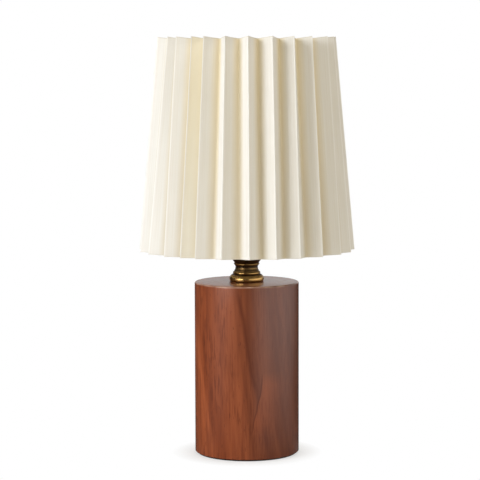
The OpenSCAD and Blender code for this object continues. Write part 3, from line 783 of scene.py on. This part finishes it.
# %% The folds
PLEATS = 25
SEAM_PITCHES = (8.7, 11.6)
FIRST_RIDGE = -28.5
BOTTOM_RADIUS, TOP_RADIUS = 100 * MM, 82.5 * MM
BOTTOM_DEPTH, TOP_DEPTH = 11.5 * MM, 13.5 * MM
BOTTOM_DIP, TOP_DIP = 0.6 * MM, 2.1 * MM
RIDGE_ROUND = 0.65 * MM
VALLEY_ROUND = 1.9 * MM
LAP_SHARE = 0.8
LAP_DROP = 1.1 * MM
LAP_REACH = 0.97
PANEL_STEPS = (0.08, 0.3, 0.5, 0.7, 0.92)
ROWS = 25
CLOTH_THICKNESS = 0.6 * MM
CLOTH_SMOOTH_ANGLE = 55

cover_low, cover_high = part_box("pleated_cover")
cover_bottom = cover_low.z + BOTTOM_DIP
cover_height = cover_high.z - cover_bottom
pitch = (360 - sum(SEAM_PITCHES)) / (PLEATS - 2)
ridges = [FIRST_RIDGE + pitch * k for k in range(PLEATS - 1)] + [360 + FIRST_RIDGE - SEAM_PITCHES[0]]
fold_turns = [(FIRST_RIDGE - SEAM_PITCHES[0] / 2, 1.0)]
for ridge, following in zip(ridges, ridges[1:] + [360 + FIRST_RIDGE]):
    fold_turns += [(ridge, 0.0), ((ridge + following) / 2, 1.0)]
print("The strip has", len(fold_turns), "folds, a ridge every", round(pitch, 2), "degrees")

# %% [markdown]
# Hand-folded cloth is never quite even. At the bottom the folds crowd a little towards the
# front and the whole cover is twisted by a hair. Most folds round the front stand off from the
# even spacing, given here in degrees at the bottom and at the top. Each fold wanders by a slow
# wave of its own, and each panel bows by up to 0.45 mm. A panel's number is one more than that
# of the fold it ends at, and panel 0 is the outer one of the lap. Eight panels are hollow: panel
# 0, which faces the camera, and seven that face away from it.

# %% The small unevenness of each fold
FOLD_WANDER = 0.15
SIDE_WAVE, DEPTH_WAVE = 2.6, 3.1
PHASE_SPAN = 6.28
FRONT_CROWDING = 4.0
FOLD_TWIST = 0.6
FOLD_SHIFTS = {
    -6: (-1.9, 4.4), -4: (-1.5, -0.9), -2: (-1.0, 0.7), -1: (1.0, 1.4), 0: (1.0, 1.4), 1: (0.0, 1.1),
    2: (1.2, 1.5), 3: (0.9, 0.4), 4: (2.3, 0.8), 5: (0.7, -0.1), 6: (0.9, -0.5), 7: (0.4, 0.3),
    8: (0.0, 1.1), 9: (0.1, 0.4), 10: (1.5, 1.0), 11: (0.7, 0.0), 12: (2.0, 1.5), 13: (2.0, 2.3),
}
DEPTH_WANDER = 0.35 * MM
PANEL_BOW = 0.35 * MM
dice = random.Random(11)
fold_phases = [
    (dice.uniform(0, PHASE_SPAN), dice.uniform(0, PHASE_SPAN), dice.uniform(0.4, 1.0))
    for _ in fold_turns
]
panel_bows = [dice.uniform(-1, 1) * PANEL_BOW for _ in fold_turns]
HOLLOW_PANELS = {-9: 0.35, -7: 0.45, -5: 0.45, -3: 0.40, 0: 0.35, 2: 0.20, 13: 0.30, 15: 0.30}
for index, hollow in HOLLOW_PANELS.items():
    panel_bows[index] = -hollow * MM
fold_phases[-1] = fold_phases[0]
fold_shifts = [(0.0, 0.0)] * len(fold_turns)
for index, shift in FOLD_SHIFTS.items():
    fold_shifts[index] = shift


def lerp(low, high, share):
    """A value between two others."""
    return low + (high - low) * share


def fold_corner(index, t, drop=0.0):
    """A fold's place at height share t, as (x, y, depth share)."""
    turn_deg, share = fold_turns[index]
    phase, depth_phase, size = fold_phases[index]
    sideways = math.sin(math.radians(turn_deg))
    crowding = FRONT_CROWDING * math.sin(math.radians(2 * turn_deg)) * abs(sideways)
    turn_deg += lerp(*fold_shifts[index], t) - (1 - t) * (crowding + FOLD_TWIST)
    turn_deg += FOLD_WANDER * size * math.sin(phase + SIDE_WAVE * t)
    radius = lerp(BOTTOM_RADIUS, TOP_RADIUS, t) - share * lerp(BOTTOM_DEPTH, TOP_DEPTH, t) - drop
    radius += share * DEPTH_WANDER * math.sin(depth_phase + DEPTH_WAVE * t)
    angle = math.radians(turn_deg)
    return Vector((radius * math.sin(angle), -radius * math.cos(angle), share))


def rounded_fold(before, corner, after):
    """The points of one crease: a tight one on a ridge, a softer one in a valley."""
    valley = corner.z > 0.5
    reach = VALLEY_ROUND if valley else RIDGE_ROUND
    start = corner.lerp(before, reach / (before - corner).xy.length)
    end = corner.lerp(after, reach / (after - corner).xy.length)
    steps = 4 if valley else 2
    shares = [i / steps for i in range(steps + 1)]
    return [start.lerp(corner, s).lerp(corner.lerp(end, s), s) for s in shares]


def panel_points(start, end, bow):
    """The points of one panel between two creases, a little bowed."""
    along = end - start
    outward = Vector((along.y, -along.x, 0)).normalized()
    return [start + along * s + outward * bow * 4 * s * (1 - s) for s in PANEL_STEPS]


def section(t):
    """The whole strip at one height, from the hidden end of the lap to the outer end."""
    corners = [fold_corner(i, t) for i in range(len(fold_turns))]
    lap_ridge = fold_corner(len(fold_turns) - 2, t, LAP_DROP)
    lap_valley = fold_corner(0, t, LAP_DROP)
    lap_end = lap_valley.lerp(lap_ridge, LAP_SHARE)
    path = [lap_end, lap_valley, *corners[1:]]
    points = [lap_end]
    for i in range(1, len(path) - 1):
        crease = rounded_fold(path[i - 1], path[i], path[i + 1])
        points += panel_points(points[-1], crease[0], panel_bows[i]) + crease
    last = points[-1].lerp(path[-1], LAP_REACH)
    return points + panel_points(points[-1], last, panel_bows[0]) + [last]


# %% [markdown]
# The flat strip is one grid primitive. A point's column says where it lies along the strip, and
# its row how high. The UV map holds the same two lengths, measured on the folded cloth halfway
# up, so a thread is as wide on every panel.


# %% Fold the strip
middle = section(0.5)
columns = len(middle)
run = [0.0]
for a, b in zip(middle, middle[1:]):
    run.append(run[-1] + (b - a).xy.length)
slope = math.hypot(cover_height, BOTTOM_RADIUS - TOP_RADIUS)
print("The strip is", round(run[-1], 3), "m long and", round(slope, 3), "m high")

bpy.ops.object.select_all(action="DESELECT")
bpy.ops.mesh.primitive_grid_add(x_subdivisions=columns - 1, y_subdivisions=ROWS - 1, size=1)
cover = adopt("Pleated_cover")
places = [
    (round((v.co.x + 0.5) * (columns - 1)), round((v.co.y + 0.5) * (ROWS - 1)))
    for v in cover.data.vertices
]
sections = [section(row / (ROWS - 1)) for row in range(ROWS)]
for vertex, (column_no, row) in zip(cover.data.vertices, places):
    point = sections[row][column_no]
    t = row / (ROWS - 1)
    height = cover_bottom + cover_height * t - point.z * lerp(BOTTOM_DIP, TOP_DIP, t)
    vertex.co = (point.x, point.y, height)

cloth_map = cover.data.uv_layers[0]
for loop in cover.data.loops:
    column_no, row = places[loop.vertex_index]
    cloth_map.data[loop.index].uv = (run[column_no], slope * row / (ROWS - 1))

# %% [markdown]
# The material needs to know where the cloth is doubled at the lap, and how deep each point lies
# between a ridge and a valley. The lap is painted warmer and lighter, as painted light. The
# valleys are painted darker, as painted shade, and the ridges paler, as a painted highlight.
# Both marks follow the folds, so they are stored as attributes.

# %% Mark the lap and the valleys
lap_points = len(PANEL_STEPS) + 2
lap_mark = cover.data.attributes.new("lap", "FLOAT", "POINT")
lap_start = run[-1] - (middle[-1] - middle[-lap_points]).xy.length
lap_mark.data.foreach_set("value", [1.0 if run[c] >= lap_start else 0.0 for c, _ in places])
fold_mark = cover.data.attributes.new("valley", "FLOAT", "POINT")
fold_mark.data.foreach_set("value", [sections[row][c].z for c, row in places])


# %% [markdown]
# The cloth is a plain weave with slubs, the thicker places in a hand-spun thread. Threads over
# and under each other are two rows of waves, one along each direction, swapped like a
# chessboard. Slubs are noise that is drawn out along one thread.

# %% The weave
weave, weave_in, weave_out = start_group("Plain_weave", {"Threads per metre": 2600.0}, ["Height", "Slub"])
threads = add_node(
    weave, "ShaderNodeVectorMath",
    {0: weave_in.outputs["Vector"], "Scale": weave_in.outputs["Threads per metre"]}, operation="SCALE",
)
thread_xy = add_node(weave, "ShaderNodeSeparateXYZ", {0: threads.outputs["Vector"]})


def thread_wave(tree, along):
    """Rounded threads side by side: the absolute value of a sine wave."""
    turns = math_node(tree, "MULTIPLY", along, math.pi)
    return math_node(tree, "ABSOLUTE", math_node(tree, "SINE", turns))


warp_wave = thread_wave(weave, thread_xy.outputs["X"])
weft_wave = thread_wave(weave, thread_xy.outputs["Y"])
over_under = add_node(weave, "ShaderNodeTexChecker", {"Vector": threads.outputs["Vector"], "Scale": 1.0})
thread_height = add_node(
    weave, "ShaderNodeMix",
    {"Factor": over_under.outputs["Fac"], "A": warp_wave, "B": weft_wave}, data_type="FLOAT",
)
slub = noise(weave, stretched(weave, weave_in.outputs["Vector"], (1100.0, 14.0, 1.0)), 1.0, 3.0)
weave.links.new(thread_height.outputs["Result"], weave_out.inputs["Height"])
weave.links.new(map_range(weave, slub, 0.35, 0.65), weave_out.inputs["Slub"])

# %% The cloth and its backing
CLOTH_LIGHT = (0.900, 0.885, 0.845, 1.0)
CLOTH_SHADE = (0.865, 0.840, 0.785, 1.0)
CLOTH_LAP_LIGHT = (0.990, 0.925, 0.745, 1.0)
CLOTH_VALLEY_SHADE_LOW = (0.660, 0.565, 0.380, 1.0)
CLOTH_VALLEY_SHADE_HIGH = (0.825, 0.705, 0.440, 1.0)
CLOTH_RIDGE_HIGHLIGHT = (0.990, 0.982, 0.960, 1.0)
CLOTH_EDGE_BAND = (0.700, 0.650, 0.560, 1.0)
EDGE_BAND_HEIGHT = 0.9 * MM

pleated_cloth, cloth_tree, cloth_shader = start_material(
    "Pleated_cloth", Roughness=0.9, Specular_IOR_Level=0.2, Sheen_Weight=0.15, Sheen_Roughness=0.5
)
cloth_uv = add_node(cloth_tree, "ShaderNodeTexCoord").outputs["UV"]
cloth_pattern = add_node(cloth_tree, "ShaderNodeGroup", {"Vector": cloth_uv}, node_tree=weave)
cloth_height = add_node(cloth_tree, "ShaderNodeSeparateXYZ", {0: cloth_uv}).outputs["Y"]
lap_share = add_node(cloth_tree, "ShaderNodeAttribute", attribute_name="lap").outputs["Fac"]
valley_share = add_node(cloth_tree, "ShaderNodeAttribute", attribute_name="valley").outputs["Fac"]
cloth_colour = mix_colour(cloth_tree, cloth_pattern.outputs["Slub"], CLOTH_SHADE, CLOTH_LIGHT)
upper_share = map_range(cloth_tree, cloth_height, 0.2 * slope, 0.85 * slope)
# Painted shade: the valleys are painted darker, and more so low down on the cover.
valley_shade_colour = mix_colour(cloth_tree, upper_share, CLOTH_VALLEY_SHADE_LOW, CLOTH_VALLEY_SHADE_HIGH)
# Painted light: the lap is painted warmer and lighter than one layer of cloth, more so higher up.
lap_light_share = map_range(cloth_tree, upper_share, 0.0, 0.8, 0.45, 0.9)
for share, tint in (
    (map_range(cloth_tree, valley_share, 0.50, 1.0, 0.0, 0.8), valley_shade_colour),
    (math_node(cloth_tree, "MULTIPLY", lap_share, lap_light_share), CLOTH_LAP_LIGHT),
    # Painted highlight: the ridges are painted paler.
    (map_range(cloth_tree, valley_share, 0.09, 0.03, 0.0, 0.9), CLOTH_RIDGE_HIGHLIGHT),
    # A darker band along the top and bottom edges of the cloth.
    (map_range(cloth_tree, cloth_height, EDGE_BAND_HEIGHT, 0.0, 0.0, 0.7), CLOTH_EDGE_BAND),
    (map_range(cloth_tree, cloth_height, slope - EDGE_BAND_HEIGHT, slope, 0.0, 0.7), CLOTH_EDGE_BAND),
):
    cloth_colour = mix_colour(cloth_tree, share, cloth_colour, tint)
cloth_tree.links.new(cloth_colour, cloth_shader.inputs["Base Color"])
add_bump(
    cloth_tree, cloth_shader,
    math_node(cloth_tree, "ADD", cloth_pattern.outputs["Height"], cloth_pattern.outputs["Slub"]),
    0.02 * MM,
)

cloth_backing = mottled_material(
    "Cloth_backing", (0.80, 0.78, 0.72, 1.0), (0.88, 0.86, 0.81, 1.0), (0.35, 0.5), scale=25.0
)

# %% Thicken the cloth and hang it on its rings
cover.data.materials.append(pleated_cloth)
cover.data.materials.append(cloth_backing)
apply_modifier(
    cover, "SOLIDIFY", thickness=CLOTH_THICKNESS, offset=-1.0, use_even_offset=True,
    material_offset=1, material_offset_rim=0,
)
pick(cover)
bpy.ops.object.shade_smooth_by_angle(angle=math.radians(CLOTH_SMOOTH_ANGLE))
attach(cover, "shade")
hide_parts("pleated_cover")

# %% [markdown]
# ## Finishes of the solids that keep their shape
# The rest of the lamp is hardware whose solids are already right. Each gets the finish of its
# material, with the cloudiness and fine grain of the real surface.

# %% Finishes for the hardware
finishes = {
    "felt": mottled_material(
        "Felt", (0.010, 0.009, 0.008, 1), (0.030, 0.027, 0.024, 1), (0.9, 1.0), 400.0, 0.12 * MM
    ),
    "brown_plastic": mottled_material(
        "Brown_plastic", (0.030, 0.016, 0.009, 1), (0.045, 0.024, 0.013, 1), (0.38, 0.5), 90.0
    ),
    "zinc_steel": mottled_material(
        "Zinc_steel", (0.42, 0.43, 0.45, 1), (0.60, 0.60, 0.58, 1), (0.28, 0.42), 160.0, Metallic=1.0
    ),
    "spring_steel": mottled_material(
        "Spring_steel", (0.14, 0.13, 0.12, 1), (0.26, 0.26, 0.27, 1), (0.3, 0.45), 200.0, Metallic=1.0
    ),
    "yellow_brass": mottled_material(
        "Yellow_brass", (0.56, 0.36, 0.12, 1), (0.72, 0.50, 0.19, 1), (0.2, 0.35), 180.0, Metallic=1.0
    ),
    "contact_brass": mottled_material(
        "Contact_brass", (0.60, 0.40, 0.15, 1), (0.74, 0.53, 0.22, 1), (0.22, 0.34), 220.0, Metallic=1.0
    ),
    "black_phenolic": mottled_material(
        "Black_phenolic", (0.008, 0.008, 0.008, 1), (0.014, 0.013, 0.012, 1), (0.22, 0.34), 70.0
    ),
    "porcelain": mottled_material(
        "Porcelain", (0.74, 0.71, 0.64, 1), (0.82, 0.80, 0.74, 1), (0.35, 0.5), 120.0
    ),
    "white_enamel": mottled_material(
        "White_enamel", (0.76, 0.75, 0.71, 1), (0.84, 0.83, 0.80, 1), (0.22, 0.36), 120.0, 0.03 * MM
    ),
    "bulb_metal": mottled_material(
        "Bulb_metal", (0.52, 0.52, 0.50, 1), (0.66, 0.66, 0.64, 1), (0.2, 0.34), 240.0, Metallic=1.0
    ),
    "bulb_black_glass": mottled_material(
        "Bulb_black_glass", (0.006, 0.006, 0.008, 1), (0.012, 0.012, 0.015, 1), (0.06, 0.14), 90.0
    ),
    "lead_wire": mottled_material(
        "Lead_wire", (0.45, 0.44, 0.42, 1), (0.58, 0.57, 0.55, 1), (0.25, 0.35), 300.0, Metallic=1.0
    ),
    "filament_coat": mottled_material(
        "Filament_coat", (0.78, 0.40, 0.035, 1), (0.90, 0.56, 0.07, 1), (0.35, 0.5), 260.0, 0.05 * MM
    ),
    "stained_wood": stained_wood,
    "aged_brass": aged_brass,
    "pleated_cloth": pleated_cloth,
}

# %% Clear glass
clear_glass, glass_tree, glass_shader = start_material(
    "Clear_glass", Base_Color=(0.98, 0.99, 0.99, 1.0), Transmission_Weight=1.0, IOR=1.46
)
glass_inputs = {"Vector": object_place(glass_tree), "Scale": 30.0}
glass_pattern = add_node(glass_tree, "ShaderNodeGroup", glass_inputs, node_tree=mottle)
glass_tree.links.new(
    map_range(glass_tree, glass_pattern.outputs["Tone"], 0.0, 1.0, 0.0, 0.03),
    glass_shader.inputs["Roughness"],
)
finishes["clear_glass"] = clear_glass

# %% [markdown]
# ## The threads
# The lamp holder's skirt carries a moulded thread for the ring that clamps the shade, and the
# bulb's cap is thin sheet rolled into a round thread. A thread isn't a stack of rings: it climbs
# as it goes round. So each piece is turned with many rows of points first. Then every point is
# pushed in by a wave that depends on its height and its angle, which makes one running thread.
# The wave fades at both ends.

# %% Cut a thread
ROWS_A_TURN = 8
THREAD_STEPS = 96


def thread_rows(radius, low, high, climb):
    """Points up a wall, close enough together to carry a thread."""
    count = round((high - low) / climb * ROWS_A_TURN)
    return [(radius, low + (high - low) * i / count) for i in range(count + 1)]


def cut_thread(piece, reach, low, high, climb, depth):
    """Push the points beyond a radius inwards by a wave that rises by climb a turn."""
    for vertex in piece.data.vertices:
        radius = math.hypot(vertex.co.x, vertex.co.y)
        ends = min((vertex.co.z - low) / climb, (high - vertex.co.z) / climb, 1.0)
        if radius < reach or ends <= 0:
            continue
        turns = vertex.co.z / climb - math.atan2(vertex.co.y, vertex.co.x) / (2 * math.pi)
        cut = depth * ends * (0.5 - 0.5 * math.cos(2 * math.pi * turns))
        vertex.co.x *= 1 - cut / radius
        vertex.co.y *= 1 - cut / radius


# %% The holder's threaded skirt
SKIRT_RADIUS = 19.8 * MM
SKIRT_CLIMB = 2.5 * MM
SKIRT_THREAD = 0.5 * MM
SPIGOT_RADIUS = 19.65 * MM
BLOCK_HOLE = 17.75 * MM
SKIRT_INSIDE = 16.8 * MM
MOUTH_RADIUS = 14.6 * MM
MOUTH_FLARE = 1.2 * MM
MOUTH_LIP = 3.0 * MM
SKIRT_BEVEL = 0.8 * MM
SHOULDER_FOOT = 4.7 * MM
SHOULDER_TOP = 9.7 * MM
SHOULDER_ROUND = 0.5 * MM
BLOCK_TOP = 11.75 * MM

skirt_low, skirt_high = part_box("holder_skirt")
shoulder_foot, shoulder_top = skirt_low.z + SHOULDER_FOOT, skirt_low.z + SHOULDER_TOP
thread_top = skirt_high.z - SKIRT_BEVEL
skirt_outline = [
    (BLOCK_HOLE, skirt_low.z),
    (SPIGOT_RADIUS, skirt_low.z),
    (SPIGOT_RADIUS, shoulder_foot),
    *arc(skirt_high.x - SHOULDER_ROUND, shoulder_foot + SHOULDER_ROUND, SHOULDER_ROUND, -90, 0, 4),
    *arc(skirt_high.x - SHOULDER_ROUND, shoulder_top - SHOULDER_ROUND, SHOULDER_ROUND, 0, 90, 4),
    *thread_rows(SKIRT_RADIUS, shoulder_top, thread_top, SKIRT_CLIMB),
    (SKIRT_RADIUS - SKIRT_BEVEL, skirt_high.z),
    (MOUTH_RADIUS + MOUTH_FLARE, skirt_high.z),
    (MOUTH_RADIUS, skirt_high.z - MOUTH_FLARE),
    (MOUTH_RADIUS, skirt_high.z - MOUTH_LIP),
    (SKIRT_INSIDE, skirt_high.z - MOUTH_LIP),
    (SKIRT_INSIDE, skirt_low.z + BLOCK_TOP),
    (BLOCK_HOLE, skirt_low.z + BLOCK_TOP),
]
skirt = turn("Holder_skirt", skirt_outline, steps=THREAD_STEPS)
cut_thread(skirt, SKIRT_RADIUS - 0.1 * MM, shoulder_top, thread_top, SKIRT_CLIMB, SKIRT_THREAD)
dress(skirt, "root", "black_phenolic", finishes["black_phenolic"], "holder_skirt")

# %% The bulb's rolled cap
CAP_CLIMB = 3.629 * MM
CAP_THREAD = 0.8 * MM
CAP_WALL = 0.4 * MM
CAP_FOOT = 1.6 * MM
CAP_SEAT = 5.2 * MM

cap_low, cap_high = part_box("bulb_cap")
cap_outline = [
    *thread_rows(cap_high.x, cap_low.z, cap_high.z, CAP_CLIMB),
    *reversed(thread_rows(cap_high.x - CAP_WALL, cap_low.z, cap_high.z, CAP_CLIMB)),
]
bulb_cap = turn("Bulb_screw_cap", cap_outline, steps=THREAD_STEPS)
cut_thread(bulb_cap, 0.0, cap_low.z + CAP_FOOT, cap_high.z - CAP_SEAT, CAP_CLIMB, CAP_THREAD)
dress(bulb_cap, "bulb", "bulb_metal", finishes["bulb_metal"], "bulb_cap")

# %% Paint every solid that is shown as it is
for part in frame["record"]["subparts"]:
    solid = frame["nodes"][part["node"]]
    solid.data.materials.clear()
    solid.data.materials.append(finishes[part["material_slot"]])
